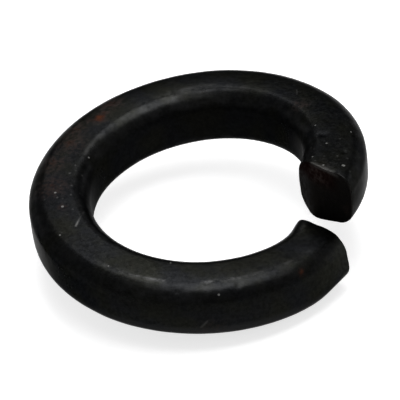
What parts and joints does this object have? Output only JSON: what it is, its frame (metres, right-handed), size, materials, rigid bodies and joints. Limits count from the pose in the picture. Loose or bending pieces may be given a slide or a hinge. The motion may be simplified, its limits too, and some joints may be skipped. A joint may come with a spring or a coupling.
{
  "type": "spring lock washer",
  "caption": "Split ring of rounded square steel wire, wound as a shallow left-hand helix, that springs between a nut or bolt head and the work to keep a thread tight.",
  "frame": {"origin": "on the axis of the bolt hole, halfway up the unloaded washer", "axes": "+Z along the bolt, +X through the middle of the slot; seen from above, the ring falls counter-clockwise from its high end just past +X to its low end"},
  "size_m": [0.0192, 0.0192, 0.0072],
  "materials": {
    "black_steel": "oiled black oxide, satin, with light rust and rubbed corners"
  },
  "bodies": {
    "root": {"washer": "black_steel"}
  },
  "joints": []
}
